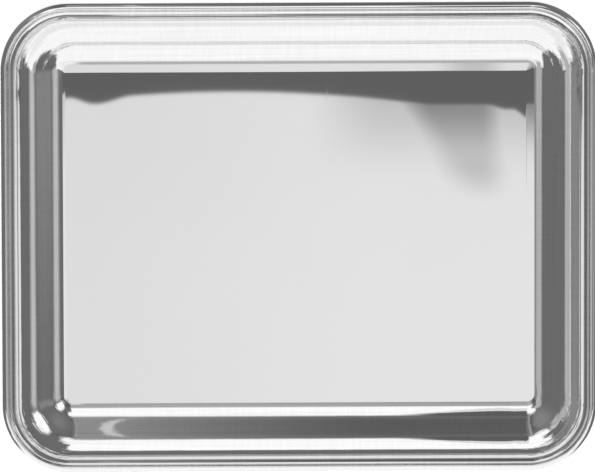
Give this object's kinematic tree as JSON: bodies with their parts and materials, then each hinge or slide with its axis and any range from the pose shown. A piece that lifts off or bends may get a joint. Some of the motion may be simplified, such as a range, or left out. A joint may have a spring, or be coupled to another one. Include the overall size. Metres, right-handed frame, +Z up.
{
  "type": "rectangular tray",
  "caption": "Shallow rectangular tray of mirror-polished metal with a flat floor, sloping double-curved sides, rounded corners and a reeded border.",
  "frame": {"origin": "middle of the flat underside, on the surface that the tray rests on", "axes": "+Z up out of the well, +X along the long side, +Y along the short side"},
  "size_m": [0.24, 0.1922, 0.0109],
  "materials": {
    "pan_metal": "mirror polished, neutral silver, faint rubbing marks",
    "border_metal": "mirror polished drawn wire, neutral silver"
  },
  "bodies": {
    "root": {"tray_pan": "pan_metal", "inner_fillet": "border_metal", "middle_reed": "border_metal", "outer_reed": "border_metal"}
  },
  "joints": []
}
